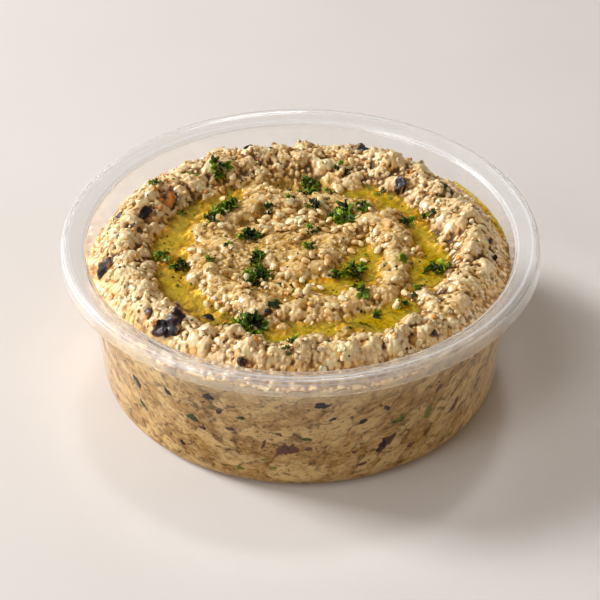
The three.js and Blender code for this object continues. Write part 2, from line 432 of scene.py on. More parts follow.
# %% The tub's finish and piece
def clear_plastic():
    """Clear, a little milky in the rim and where it is seen edge on, and open to shadow rays."""
    finish = Finish("clear_plastic")
    rim, edge = finish.attribute("rim"), finish.attribute("edge")
    edge_on = finish.add("ShaderNodeLayerWeight", {}, {"Blend": 0.5}, output="Facing")
    clear = finish.principled(
        Base_Color=(0.985, 0.985, 0.99, 1.0), Transmission_Weight=1.0, IOR=1.10,
        Roughness=0.02 + rim * 0.16, Coat_Weight=rim * 1.0, Coat_Roughness=0.05,
    )
    milk = finish.principled(Base_Color=(0.97, 0.97, 0.98, 1.0), Roughness=0.3)
    # The milk on the rim's rounded edges paints bright lines there, as painted highlight; the rest
    # is milky plastic.
    cloud = 0.004 + rim * 0.075 + edge * 0.32 + 0.10 * edge_on ** 3.0
    body = finish.add("ShaderNodeMixShader", {}, {0: cloud, 1: clear, 2: milk})
    for_shadows = finish.add("ShaderNodeLightPath", output="Is Shadow Ray")
    open_way = finish.add("ShaderNodeBsdfTransparent", {}, {"Color": (0.95, 0.95, 0.95, 1.0)})
    both = finish.add("ShaderNodeMixShader", {}, {0: for_shadows, 1: body, 2: open_way})
    return finish.show(both)


def turned(section, columns):
    """Points and faces of a section with its first and last points on the axis, turned about it."""
    turns = np.linspace(0, 2 * math.pi, columns, endpoint=False)
    ring = section[1:-1]
    x = np.outer(ring[:, 0], np.cos(turns))
    y = np.outer(ring[:, 0], np.sin(turns))
    z = np.repeat(ring[:, 1:], columns, axis=1)
    points = np.stack([x, y, z], axis=-1).reshape(-1, 3)
    first, last = len(points), len(points) + 1
    points = np.vstack([points, [0, 0, section[0, 1]], [0, 0, section[-1, 1]]])
    here = np.arange(columns)
    after = (here + 1) % columns
    top_row = (len(ring) - 1) * columns
    below = np.stack([np.full(columns, first), after, here], axis=1)
    above = np.stack([np.full(columns, last), top_row + here, top_row + after], axis=1)
    return points, [grid_faces(len(ring), columns, True), below, above]


TURNS = 440
section, on_arc = tub_section()
points, faces = turned(section, TURNS)
rim_share = np.clip((points[:, 2] - (HEIGHT - SKIRT_DEPTH - 0.5)) / 1.5, 0, 1)
# The rim's rounded edges get extra white milk, a painted highlight line.
edge_highlight_milk = np.concatenate([np.repeat(on_arc[1:-1], TURNS), [0, 0]]) * rim_share
values = {"rim": rim_share, "edge": edge_highlight_milk}
build("tub_clear", points, faces, clear_plastic(), ["tub"], values)

# %% [markdown]
# ## The dip's broad shape
# The frame's dip holds the swirl: an outer ridge, a furrow for the oil, a second ridge, an inner
# furrow and a mound. Rays dropped on it every 1.5 mm give its height, and a blur takes its facets
# away. The result is a height field, a square of numbers, which is easy to add lumps to.

# %% Height field
CELL = 0.25
HALF = 63.0
AXIS = np.arange(-HALF, HALF + CELL / 2, CELL)
X, Y = np.meshgrid(AXIS, AXIS)
RADIUS = np.hypot(X, Y)
RAY_STEP = 1.5
FACET_BLUR = 1.3
random = np.random.default_rng(11)


def blurred(field, width):
    """A Gaussian blur of that width in millimetres."""
    pad = int(4 * width / CELL) + 1
    wide = np.pad(field, pad, mode="edge")
    fy = np.fft.fftfreq(wide.shape[0], CELL)[:, None]
    fx = np.fft.rfftfreq(wide.shape[1], CELL)[None, :]
    soft = np.exp(-2 * (math.pi * width) ** 2 * (fx * fx + fy * fy))
    out = np.fft.irfft2(np.fft.rfft2(wide) * soft, s=wide.shape)
    return out[pad:-pad, pad:-pad]


def cloud(width):
    """A smooth random field with a spread of about 1."""
    field = blurred(random.standard_normal(X.shape), width)
    return field / field.std()


def sample(field, x, y):
    """The field at any points, by a weighted mean of the four samples round each."""
    u = np.clip((np.asarray(x) + HALF) / CELL, 0, len(AXIS) - 1.001)
    v = np.clip((np.asarray(y) + HALF) / CELL, 0, len(AXIS) - 1.001)
    i, j = u.astype(int), v.astype(int)
    u, v = u - i, v - j
    near = field[j, i] * (1 - u) + field[j, i + 1] * u
    far = field[j + 1, i] * (1 - u) + field[j + 1, i + 1] * u
    return near * (1 - v) + far * v


def frame_dip():
    """Height of the frame's dip on the field, blurred."""
    mesh = frame["nodes"]["dip"].data
    tree = BVHTree.FromPolygons([v.co for v in mesh.vertices], [p.vertices for p in mesh.polygons])
    coarse = np.arange(-HALF, HALF + RAY_STEP / 2, RAY_STEP)
    heights = np.zeros((len(coarse), len(coarse)))
    reach = MOUTH_R - 2.2
    for j, y in enumerate(coarse):
        for i, x in enumerate(coarse):
            pull = min(1.0, reach / max(math.hypot(x, y), 1e-6))
            hit = tree.ray_cast(Vector((x * pull * MM, y * pull * MM, 0.1)), Vector((0, 0, -1)))
            heights[j, i] = hit[0].z / MM
    rows = np.array([np.interp(AXIS, coarse, row) for row in heights])
    full = np.array([np.interp(AXIS, coarse, column) for column in rows.T]).T
    return blurred(full, FACET_BLUR)


BASE = frame_dip()
print(f"dip from {BASE.min():.1f} to {BASE.max():.1f} mm high")

# %% [markdown]
# ## Lumps and grains
# Mashed aubergine with tahini is a heap of soft curds: chunks almost as wide as a fingernail, curds
# the size of a lentil, and grains finer than rice. Each one is pressed into the height field as a
# rounded cap, and where two caps meet a crease is left, as between real curds. Each cap has a tint
# of its own, because real curds differ in colour too.

# %% Pressing curds into the field
OIL = {name: box_mm(name)[1][2] for name in frame["nodes"] if name.startswith("oil_")}
FLAKES = [name for name in frame["nodes"] if name.startswith("skin_")]
SUNK = 0.3
RAGGED = cloud(0.5)
WAVY = cloud(1.4)


def on_disc(own, radius):
    """A random place on a disc, as likely anywhere on it."""
    r, a = radius * math.sqrt(own.random()), own.uniform(0, 2 * math.pi)
    return r * math.cos(a), r * math.sin(a)


def press(field, bed, x, y, size, turn, shade, uneven):
    """Raises the field to a rounded cap that rests on the bed, and gives it the cap's tint."""
    height, tint = field
    long, wide, tall = size
    reach = max(long, wide) * 1.2
    i0, i1 = np.searchsorted(AXIS, (x - reach, x + reach))
    j0, j1 = np.searchsorted(AXIS, (y - reach, y + reach))
    window = (slice(j0, j1), slice(i0, i1))
    dx, dy = X[window] - x, Y[window] - y
    u = dx * math.cos(turn) + dy * math.sin(turn)
    v = dy * math.cos(turn) - dx * math.sin(turn)
    dents = 0.10 * RAGGED[window] + 0.16 * WAVY[window]
    q = ((u / long) ** 2 + (v / wide) ** 2) * (1 + uneven * dents)
    cap = bed[window] + tall * (np.sqrt(np.clip(1 - q, 0, None)) - SUNK)
    shows = (q < 1) & (cap > height[window])
    height[window][shows] = cap[shows]
    tint[window][shows] = shade


def scatter(field, count, lengths, girths, talls, shades, soften, own, uneven, keep):
    """Presses many caps on a copy of the field, softened; keep is how likely one stays at a place.

    Girths and talls are shares of a cap's length and width. Own is how much of its tint is its own.
    """
    bed, ground_tint = blurred(field[0], soften), field[1].copy()
    for _ in range(count):
        x, y = on_disc(random, MOUTH_R)
        long = random.uniform(*lengths)
        wide = long * random.uniform(*girths)
        size = (long, wide, wide * random.uniform(*talls))
        turn, shade = math.pi * random.random(), random.uniform(*shades)
        if random.random() < sample(keep, x, y):
            shade = shade * own + sample(ground_tint, x, y) * (1 - own)
            press(field, bed, x, y, size, turn, shade, uneven)


def near(places, reach):
    """1 close to any of the places, 0 away from them."""
    field = np.zeros(X.shape)
    for x, y in places:
        field = np.maximum(field, 1 / (1 + (np.hypot(X - x, Y - y) / reach) ** 8))
    return field


def rises(value, middle, width):
    """0 well below the middle, 1 well above it, with a soft step of that width between."""
    return 1 / (1 + np.exp((middle - value) / width))


# %% [markdown]
# The kinds go from the largest to the smallest, so that small ones lie on large ones. Flakes of
# skin and oil keep some places smooth, the second kind makes the outer ridge rugged, and the two
# kinds of beads come in patches. Last, the broad rise that all the caps add is taken off again, so
# that the surface stays at the frame's height.

# %% The kinds of curds and the finished surface
# Count, lengths, girths, heights, tints, softening, own share of the tint and unevenness of each.
CURDS = {
    "lumps": (340, (2.3, 4.4), (0.60, 0.95), (0.85, 1.25), (0.0, 0.55), 1.1, 1.0, 1.0),
    "ridge lumps": (240, (1.5, 2.4), (0.60, 0.95), (0.90, 1.30), (0.0, 0.55), 0.8, 1.0, 1.0),
    "curds": (1100, (1.1, 1.9), (0.70, 0.95), (0.50, 0.80), (0.05, 0.8), 0.8, 0.6, 0.7),
    "beads": (9500, (0.55, 1.05), (0.84, 1.00), (0.75, 1.00), (0.35, 1.0), 0.45, 0.55, 0.25),
    "fine beads": (12000, (0.32, 0.60), (0.84, 1.00), (0.85, 1.10), (0.35, 1.0), 0.3, 0.4, 0.2),
}
LUMPS_R = 57
POOLS_R = 52
RIDGE_R = 47
MOUND_R = 33
FLAKE_REACH = 3.0
SPOTS = [(sum(box_mm(name)) / 2)[:2] for name in FLAKES]
UNDER_FLAKES = near(SPOTS, FLAKE_REACH)


def curdled():
    """Height and tint of the finished surface, and where it is wet with oil."""
    field = [BASE.copy(), np.full(X.shape, 0.5)]
    wet = rises(min(OIL["oil_front"], OIL["oil_right"]) - BASE, 0.2, 0.25)
    wet[RADIUS > POOLS_R] = 0
    keep = (1 - 0.35 * wet) * (1 - UNDER_FLAKES)
    stays = {
        "lumps": keep * (RADIUS < LUMPS_R),
        "ridge lumps": keep * np.exp(-((RADIUS - RIDGE_R) / 5) ** 2),
        "curds": keep,
        "beads": keep * (0.50 + 0.50 * rises(cloud(2.5), -0.5, 0.3)),
        "fine beads": keep * rises(cloud(3.0), -0.2, 0.3),
    }
    for kind, look in CURDS.items():
        scatter(field, *look, stays[kind])
    height = blurred(field[0], 0.10)
    rough = 0.62 + 0.38 * rises(RADIUS, MOUND_R, 3)
    rise = blurred(height - BASE, 6.0)
    return BASE + (height - rise - BASE) * rough, field[1], wet


HEIGHTS, TINT, WET = curdled()
FILM_R = 37
FILM = 0.55 * rises(FILM_R + 4 * cloud(4.0) - RADIUS, 0, 1.5)
standing = HEIGHTS - BASE
print(f"curds stand from {standing.min():.1f} to {standing.max():.1f} mm off the swirl")

# %% [markdown]
# Creases are where the surface lies lower than its own blur. Three widths of blur find the creases
# between lumps, between curds and between beads, and the dip's finish paints them darker, partly as
# painted shade. Close to the wall the crease value is pulled to one even level, so the painted shade
# fades there.

# %% Creases
# Width of each blur and the weight of what it finds, added to the value of level ground.
CREASE_WEIGHTS = ((2.2, 0.46), (0.9, 0.30), (0.45, 1.3))
CREASES = 0.47
for width, weight in CREASE_WEIGHTS:
    CREASES = CREASES + weight * (blurred(HEIGHTS, width) - HEIGHTS)
BY_WALL = rises(RADIUS, 57.5, 0.7)
CREASES = np.clip(CREASES, 0, 1) * (1 - 0.6 * BY_WALL) + 0.25 * BY_WALL
print(f"creases spread by {CREASES.std():.2f}")

# %% [markdown]
# ## From the field to a closed mass
# A square grid is bent into a disc so that its edge follows the wall without steps. From that edge,
# rows of points run down the wall, round the corner and under the dip. The mass reaches just into
# the plastic, so that it looks wet against it, as a dip that was pressed in does.

# %% The grid of the top
GRID = 401


def disc_grid(count):
    """A square grid of unit points bent into a disc: each square ring becomes a round one."""
    line = np.linspace(-1, 1, count)
    a, b = np.meshgrid(line, line)
    wide = np.abs(a) > np.abs(b)
    r = np.where(wide, a, b)
    safe = np.where(r == 0, 1, r)
    turn = np.where(wide, math.pi / 4 * b / safe, math.pi / 2 - math.pi / 4 * a / safe)
    return r * np.cos(turn), r * np.sin(turn)


def square_edge(count):
    """Point numbers round the edge of a square grid, anticlockwise."""
    n = count - 1
    line = np.arange(n)
    south, east = line, line * count + n
    north, west = n * count + n - line, (n - line) * count
    return np.concatenate([south, east, north, west])


# %% [markdown]
# Behind the clear wall the dip shows as flattened lumps with dark seams. The wall is shared out
# between random middles, each place to its nearest, with distance measured along slanted layers. A
# seam is wherever the two nearest middles are almost equally far.

# %% The lumps pressed against the wall
WALL_LUMPS = 460
SEAM_WIDTH = 1.1
SLANT = 0.8
SLANT_FROM = math.pi / 2 + 0.15


def slant(turn):
    """How steeply the pressed layers run at a bearing: a spoon left them falling to the front."""
    return -SLANT * np.sin(turn + SLANT_FROM)


def layer_height(turns, heights):
    """A number that stays the same along one slanted layer."""
    return heights + SLANT * BASE_R * np.cos(turns + SLANT_FROM)


def wall_cells(turns, heights):
    """How near each place on the wall is to a seam between pressed lumps, and its lump's tint."""
    lumps = random.uniform((-math.pi, -2), (math.pi, HEIGHT), (WALL_LUMPS, 2))
    shades = random.random(len(lumps))
    best = np.full(turns.shape, 1e9)
    second = np.full(turns.shape, 1e9)
    shade = np.zeros(turns.shape)
    warp = 0.8 * np.sin(heights * 0.9 + 9 * turns) + 0.7 * np.sin(37 * turns - heights * 0.5)
    warp = warp + 0.5 * np.sin(61 * turns + heights * 1.3)
    for (turn, z), own in zip(lumps, shades):
        along = (np.angle(np.exp(1j * (turns - turn)))) * BASE_R
        up = heights - z + slant(turn) * along
        gap = np.hypot(along * 0.62 + 0.6 * warp, up + warp)
        closer = gap < best
        second = np.where(closer, best, np.minimum(second, gap))
        shade = np.where(closer, own, shade)
        best = np.where(closer, gap, best)
    return np.clip(1 - (second - best) / SEAM_WIDTH, 0, 1), shade


# %% The dip's points and faces
WALL_ROWS = 60
INTO_PLASTIC = 0.35
SEAM_DEPTH = 0.2


def joined(edge, start, columns):
    """Triangles from the top's edge, two points to a column, down to the wall's first row."""
    here = np.arange(columns)
    after = (here + 1) % columns
    left, middle, right = edge[::2], edge[1::2], np.roll(edge[::2], -1)
    return np.vstack([
        np.stack([left, start + here, middle], axis=1),
        np.stack([middle, start + here, start + after], axis=1),
        np.stack([middle, start + after, right], axis=1),
    ])


def dip_mass():
    """The top is fine, and from its edge the wall goes on with half as many columns."""
    gx, gy = disc_grid(GRID)
    edge = square_edge(GRID)
    turns = np.arctan2(gy.ravel()[edge], gx.ravel()[edge])
    rim = MOUTH_R - PLASTIC - 0.9
    edge_z = sample(HEIGHTS, rim * np.cos(turns), rim * np.sin(turns)) - 0.5
    azimuth = np.arctan2(gy, gx)
    order = np.argsort(turns)
    edge_wall = wall_radius(edge_z)[order] + INTO_PLASTIC
    edge_r = np.interp(azimuth, turns[order], edge_wall, period=2 * math.pi)
    x, y = gx * edge_r, gy * edge_r
    top = np.stack([x, y, sample(HEIGHTS, x, y)], axis=-1).reshape(-1, 3)
    top[edge, 2] = edge_z

    share = np.linspace(0, 1, WALL_ROWS + 1)[1:, None]
    turns, edge_z = turns[::2], edge_z[::2]
    z = edge_z[None, :] * (1 - share) + CORNER_R * share
    seam, shade = wall_cells(np.broadcast_to(turns, z.shape), z)
    r = wall_radius(z) + INTO_PLASTIC - SEAM_DEPTH * seam ** 2
    under = corner_arc(CORNER_R - PLASTIC + INTO_PLASTIC, 5)[::-1][1:]
    floor_z = PLASTIC - INTO_PLASTIC
    under += [(FOOT_INNER_R, floor_z), (FOOT_INNER_R - 1.5, FOOT_RECESS + floor_z)]
    r = np.vstack([r, [[ring[0]] * len(turns) for ring in under]])
    z = np.vstack([z, [[ring[1]] * len(turns) for ring in under]])
    side = np.stack([r * np.cos(turns), r * np.sin(turns), z], axis=-1).reshape(-1, 3)
    points = np.vstack([top, side, [0, 0, FOOT_RECESS + floor_z]])

    columns, rows = len(turns), len(r)
    start = len(top)
    wall = grid_faces(rows, columns, True, start)[:, ::-1]
    last = start + (rows - 1) * columns
    here = np.arange(columns)
    after = (here + 1) % columns
    foot = np.stack([last + here, np.full(columns, len(points) - 1), last + after], axis=1)
    faces = [grid_faces(GRID, GRID, False), joined(edge, start, columns), wall, foot]

    def everywhere(field, on_wall, on_foot):
        wall_values = np.concatenate([on_wall.ravel(), np.full(len(under) * columns + 1, on_foot)])
        return np.concatenate([sample(field, x, y).ravel(), wall_values])

    values = {
        "tint": everywhere(TINT, shade, 0.5),
        "crease": everywhere(CREASES, 0.45 + 0.5 * seam, 0.4),
        "oiled": everywhere(np.maximum(WET, FILM), np.zeros(seam.shape), 0.0),
        "layer": layer_height(np.arctan2(points[:, 1], points[:, 0]), points[:, 2]),
    }
    return points, faces, values


# %% [markdown]
# ## The dip's finish
# Beige curds that turn golden brown in the creases, partly where oil and juices gather and partly as
# painted shade. The finish mixes from each curd's tint, then paints the creases and the gaps between
# granules darker, as painted shade, and the curds' tops paler, as painted light. Against the wall
# the pressed lumps are flat and more even, with brown seams and slanting fibres. Light goes a little
# way in, and a thin wet coat gives the sparkle.

# %% The dip's finish and piece
PASTE_GREY = srgb(198, 168, 136)
PASTE_TAN = srgb(222, 172, 100)
BEIGE = srgb(252, 206, 130)
CREAM = srgb(255, 234, 190)
TOASTED = srgb(232, 146, 34)
CREASE_BROWN_AND_SHADE = srgb(156, 102, 4)
DEEP_CREASE_SHADE = srgb(76, 50, 2)
OILED = srgb(206, 164, 40)
WALL_PALE = srgb(216, 180, 120)
WALL_BEIGE = srgb(180, 138, 80)
WALL_TAN = srgb(150, 108, 52)
WALL_GOLD = srgb(178, 130, 40)
WALL_SEAM = srgb(62, 34, 6)
WALL_SPECK = srgb(36, 20, 8)


def pulp():
    """Grey-tan paste and cream curds, brown with painted shade in the creases, yellow under oil."""
    finish = Finish("dip")
    tint, crease = finish.attribute("tint"), finish.attribute("crease")
    oiled = finish.attribute("oiled")
    fine, broad = finish.noise(0.9, detail=4.0), finish.noise(0.11, detail=3.0)
    curd = finish.ramp(
        tint,
        (0.0, PASTE_GREY), (0.25, PASTE_TAN), (0.48, BEIGE),
        (0.72, CREAM), (0.90, CREAM), (0.96, TOASTED),
    )
    curd = finish.mix(finish.between(broad, 0.46, 0.66) * 0.5, curd, PASTE_TAN)
    curd = finish.mix(finish.between(fine, 0.48, 0.75) * 0.35, curd, PASTE_TAN)
    granular = finish.between(finish.noise(0.16, detail=2.0), 0.40, 0.56)
    away = finish.granules(0.85)
    # The gaps between granules and the creases are painted brown and darker: partly oily pulp,
    # partly painted shade.
    curd = finish.mix(finish.between(away, 0.42, 0.72) * granular * 0.7, curd, CREASE_BROWN_AND_SHADE)
    curd = finish.mix(finish.between(crease, 0.44, 0.68) * 0.85, curd, CREASE_BROWN_AND_SHADE)
    curd = finish.mix(finish.between(crease, 0.62, 0.92) * 0.85, curd, DEEP_CREASE_SHADE)
    # Curd tops, where the crease value is low, are painted cream as painted light.
    curd = finish.mix(finish.between(crease, 0.42, 0.12) * 0.5, curd, CREAM)
    colour = finish.mix(oiled * 0.55, curd, OILED)
    wet = finish.noise(1.1, detail=2.0) * 0.5 - away * away * granular
    dull = finish.between(crease, 0.52, 0.80) * 0.40
    material = finish.principled(
        Base_Color=colour, Roughness=0.20 + fine * 0.16 + dull, IOR=1.50, Specular_IOR_Level=0.60,
        Coat_Weight=0.14 * finish.between(crease, 0.68, 0.42), Coat_Roughness=0.10,
        Subsurface_Weight=0.7, Subsurface_Radius=(1.0, 0.90, 0.80), Subsurface_Scale=0.55 * MM,
        Normal=finish.bump(wet, 0.32, 0.40),
    )
    return finish.show(material)


def pressed_pulp():
    """The pulp where it lies against the plastic: pale lumps, slanting fibres and brown seams."""
    finish = Finish("pressed_dip")
    crease, tint, layer = [finish.attribute(name) for name in ("crease", "tint", "layer")]
    cloudy = finish.noise(0.26, detail=6.0, rough=0.66, where=finish.streaked(layer, 0.8))
    lump = finish.ramp(
        tint * 0.32 + cloudy * 0.93,
        (0.38, WALL_TAN), (0.56, WALL_BEIGE), (0.76, WALL_PALE),
    )
    golden = finish.noise(0.11, detail=4.0, where=finish.streaked(layer + 40.0, 0.6))
    lump = finish.mix(finish.between(golden, 0.58, 0.72) * 0.6, lump, WALL_GOLD)
    fibre = finish.noise(0.9, detail=6.0, rough=0.68, twist=0.8, where=finish.streaked(layer, 0.6))
    lump = finish.mix(finish.between(fibre, 0.50, 0.68) * 0.80, lump, WALL_SEAM)
    lump = finish.mix(finish.between(fibre, 0.48, 0.36) * 0.7, lump, WALL_PALE)
    broken = finish.between(finish.noise(0.30, detail=4.0), 0.44, 0.60)
    lump = finish.mix(finish.between(crease, 0.60, 0.95) * (0.20 + broken * 0.60), lump, WALL_SEAM)
    speck = finish.noise(1.1, detail=2.0, where=finish.streaked(layer, 0.6))
    lump = finish.mix(finish.between(speck, 0.66, 0.73) * 0.8, lump, WALL_SPECK)
    # Paler towards the top of the wall, from 29 mm to 42 mm high.
    height = finish.add("ShaderNodeSeparateXYZ", {}, {0: finish.place()}, output=2)
    lump = finish.mix(finish.between(height, 29.0, 42.0) * 0.55, lump, CREAM)
    return finish.show(finish.principled(Base_Color=lump, Roughness=0.6, Specular_IOR_Level=0.05))


DIP_FINISH, WALL_FINISH = pulp(), pressed_pulp()
points, faces, values = dip_mass()
build("dip_mass", points, faces, DIP_FINISH, ["dip"], values, second=(WALL_FINISH, 2))

# %% [markdown]
# ## Pools of oil
# The oil lies level in the furrows and creeps up the curds at its edge. Each pool is a body with a
# level top and an underside just below the dip's surface, so its shore is wherever curds rise out
# of it. Deep oil is golden and hides the bottom, and thin oil lets the curds show, so depth mixes
# a clear yellow filter with a glossy golden surface.

# %% Oil finish and pools
OIL_PALE = srgb(255, 240, 120)
OIL_GOLD = srgb(255, 232, 78)
OIL_DEEP = srgb(212, 176, 6)
OIL_CLOUD = srgb(244, 212, 40)
OIL_DREGS = srgb(132, 98, 2)


def golden_oil():
    finish = Finish("olive_oil")
    depth = finish.attribute("depth")
    murk = finish.noise(0.12, detail=3.0)
    gold = finish.ramp(depth, (0.0, OIL_PALE), (0.5, OIL_GOLD), (1.0, OIL_DEEP))
    gold = finish.mix(finish.between(murk, 0.48, 0.72) * 0.6, gold, OIL_CLOUD)
    curdy = finish.noise(0.42, detail=4.0, rough=0.6, twist=0.6)
    gold = finish.mix(finish.between(curdy, 0.50, 0.64) * depth * 0.80, gold, OIL_DREGS)
    filtering = finish.add("ShaderNodeBsdfTransparent", {}, {"Color": (1.0, 0.90, 0.42, 1.0)})
    surface = finish.principled(Base_Color=gold, Roughness=0.05, IOR=1.40)
    body = (0.06 + depth * (0.24 + 0.60 * finish.between(curdy, 0.35, 0.62))).clipped()
    return finish.show(finish.add("ShaderNodeMixShader", {}, {0: body, 1: filtering, 2: surface}))


OIL_FINISH = golden_oil()
CREEP = 0.32
POOL_CELL = 0.36
POOL_MARGIN = 4.0
# Depth in millimetres at which oil looks deepest. The left furrow is lit through, so its larger
# value paints its oil paler, as painted light.
DEEPEST = 2.4
DEEPEST_ON_THE_LIT_LEFT = 5.5


def shore(node):
    """Points and faces of one pool, cut from the field round the frame's pool, and its depths."""
    low, high = box_mm(node)
    level = high[2]
    spans = [np.arange(low[k] - POOL_MARGIN, high[k] + POOL_MARGIN, POOL_CELL) for k in (0, 1)]
    x, y = np.meshgrid(*spans)
    ground = sample(HEIGHTS, x, y)
    depth = level - ground
    inside = (depth > -CREEP * 1.6) & (np.hypot(x, y) < wall_radius(level) - 0.1)
    middle = (low + high) / 2
    inside = touching(inside, x, y, middle, depth)
    wet_cell = inside[:-1, :-1] & inside[1:, :-1] & inside[:-1, 1:] & inside[1:, 1:]
    top = level + CREEP * np.exp(-np.clip(depth, 0, None) / 0.3)
    bottom = np.minimum(ground, level) - 0.5
    deep = DEEPEST_ON_THE_LIT_LEFT if "left" in node else DEEPEST
    return closed_sheet(x, y, top, bottom, wet_cell, np.clip(depth / deep, 0, 1))


def touching(inside, x, y, middle, depth):
    """Keeps only the part of a mask that joins the deepest place near the pool's middle."""
    score = np.where(inside, depth - 0.05 * np.hypot(x - middle[0], y - middle[1]), -1e9)
    reached = np.zeros(inside.shape, dtype=bool)
    reached[np.unravel_index(np.argmax(score), score.shape)] = True
    while True:
        grown = reached.copy()
        grown[1:] |= reached[:-1]
        grown[:-1] |= reached[1:]
        grown[:, 1:] |= reached[:, :-1]
        grown[:, :-1] |= reached[:, 1:]
        grown &= inside
        if grown.sum() == reached.sum():
            return reached
        reached = grown


def closed_sheet(x, y, top, bottom, cells, value):
    """A closed body over the marked cells: a top sheet, a bottom sheet and a wall round them."""
    rows, columns = x.shape
    j, i = np.nonzero(cells)
    a = j * columns + i
    quads = np.stack([a, a + 1, a + columns + 1, a + columns], axis=1)
    under = quads[:, ::-1] + rows * columns
    padded = np.pad(cells, 1)
    walls = []
    for dj, di, first, second in ((-1, 0, 0, 1), (0, 1, 1, 2), (1, 0, 2, 3), (0, -1, 3, 0)):
        bare = ~padded[1 + dj + j, 1 + di + i]
        p, q = quads[bare, first], quads[bare, second]
        walls.append(np.stack([q, p, p + rows * columns, q + rows * columns], axis=1))
    upper = np.stack([x, y, top], axis=-1).reshape(-1, 3)
    lower = np.stack([x, y, bottom], axis=-1).reshape(-1, 3)
    points = np.vstack([upper, lower])
    faces = np.vstack([quads, under, *walls])
    used, renumbered = np.unique(faces, return_inverse=True)
    values = np.concatenate([value.ravel(), value.ravel()])[used]
    return points[used], [renumbered.reshape(faces.shape)], {"depth": values}


for node in OIL:
    points, faces, values = shore(node)
    build(node.replace("oil", "pool"), points, faces, OIL_FINISH, [node], values)

# %% [markdown]
# ## Thin curled bodies
# Leaves, flakes of skin and bits pressed against the wall are all thin bodies with an uneven
# outline. One function makes them: rings of points inside an outline, once above and once below,
# that meet at the edge. What differs is the outline and how the two faces curl.

# %% The lens function and placing
def split(a, b, c, d):
    """The two triangles of each quad."""
    return [np.stack([a, b, c], axis=1), np.stack([a, c, d], axis=1)]


def lens(outline, top, bottom, rings):
    """Points and triangle rows of a closed thin body; outline is a radius for each direction."""
    count = len(outline)
    turns = np.linspace(0, 2 * math.pi, count, endpoint=False)
    share = (np.arange(1, rings + 1) / rings)[:, None]
    x, y = share * outline * np.cos(turns), share * outline * np.sin(turns)
    upper = np.stack([x, y, top(x, y, share, turns) + 0 * x], axis=-1).reshape(-1, 3)
    lower = np.stack([x, y, bottom(x, y, share, turns) + 0 * x], axis=-1).reshape(-1, 3)
    zero = np.zeros(1)
    hub = [0, 0, float(np.mean(top(zero, zero, zero, zero)))]
    under_hub = [0, 0, float(np.mean(bottom(zero, zero, zero, zero)))]
    points = np.vstack([[hub], upper, [under_hub], lower[:-count]])
    here, after = np.arange(count), (np.arange(count) + 1) % count
    faces = [np.stack([0 * here, 1 + here, 1 + after], axis=1)]
    base = 1 + rings * count
    faces.append(np.stack([0 * here + base, base + 1 + after, base + 1 + here], axis=1))
    for ring in range(rings - 1):
        inner, outer = 1 + ring * count, 1 + (ring + 1) * count
        faces += split(inner + here, outer + here, outer + after, inner + after)
        inner = base + 1 + ring * count
        outer = base + 1 + (ring + 1) * count if ring < rings - 2 else 1 + (rings - 1) * count
        faces += split(inner + after, outer + after, outer + here, inner + here)
    return points, np.vstack(faces)


def slope(x, y, span=1.0):
    """The dip's upward direction at a place."""
    dx = sample(HEIGHTS, x + span, y) - sample(HEIGHTS, x - span, y)
    dy = sample(HEIGHTS, x, y + span) - sample(HEIGHTS, x, y - span)
    return Vector((-dx / (2 * span), -dy / (2 * span), 1)).normalized()


def ground(x, y):
    """Height of what a topping lands on: the dip, or the oil where that is higher."""
    z = float(sample(HEIGHTS, x, y))
    for node, level in OIL.items():
        low, high = box_mm(node)
        if low[0] - 3 < x < high[0] + 3 and low[1] - 3 < y < high[1] + 3:
            z = max(z, level)
    return z


def laid(points, x, y, z, azimuth=0.0, tilt=0.0, lean=0.0, normal=None):
    """Points turned about their own axes, stood on a slope and moved; angles in degrees."""
    turn = Matrix.Rotation(math.radians(azimuth), 3, "Z")
    turn = turn @ Matrix.Rotation(math.radians(tilt), 3, "Y")
    turn = turn @ Matrix.Rotation(math.radians(lean), 3, "X")
    if normal is not None:
        turn = Vector((0, 0, 1)).rotation_difference(normal).to_matrix() @ turn
    return points @ np.array(turn).T + np.array([x, y, z])


class Pile:
    """Many small bodies of one kind, gathered into one mesh."""

    def __init__(self):
        self.points, self.faces, self.values, self.count = [], [], [], 0

    def put(self, points, faces, value):
        self.faces.append(faces + self.count)
        self.points.append(points)
        self.values.append(np.full(len(points), value) if np.isscalar(value) else value)
        self.count += len(points)

    def build(self, name, finish, slot, replaces=()):
        values = {"tint": np.concatenate(self.values)}
        points, faces = np.vstack(self.points), [np.vstack(self.faces)]
        build(name, points, faces, finish, replaces, values)


# %% [markdown]
# ## Flakes of charred skin
# When an aubergine is roasted over a flame its skin blisters and comes off in curled flakes, black
# and glossy with purple patches, and with some flesh left at the edge. Each flake of the frame
# becomes a thin leaf of skin with ragged edges and a rolled curl. The toasted one is brown and
# orange.

# %% Skin finish
FLESH_DARK = srgb(96, 60, 34)
FLESH_PALE = srgb(206, 160, 96)


def charred(name, dark, light, share=0.5):
    """Two tones in patches, blistered, with flesh at the edge; share is how much is dark."""
    finish = Finish(name)
    patch, fleck = finish.noise(0.22, detail=4.0), finish.noise(1.6, detail=3.0)
    blister = finish.noise(0.8, detail=5.0)
    tone = finish.mix(finish.between(patch, share - 0.08, share + 0.12), dark, light)
    flesh = finish.mix(fleck, FLESH_DARK, FLESH_PALE)
    edge = finish.attribute("tint") + (finish.noise(0.5) - 0.5) * 2.0
    tone = finish.mix(finish.between(edge, 0.72, 1.00) * 0.9, tone, flesh)
    shader = finish.principled(
        Base_Color=tone, Roughness=0.26 + blister * 0.30, IOR=1.45,
        Coat_Weight=0.15, Coat_Roughness=0.08, Normal=finish.bump(blister, 0.8, 0.5),
    )
    return finish.show(shader)


SKIN_FINISH = charred("charred_skin", srgb(12, 7, 9), srgb(54, 26, 38))
TOASTED_FINISH = charred("toasted_skin", srgb(56, 30, 36), srgb(214, 132, 48), 0.44)

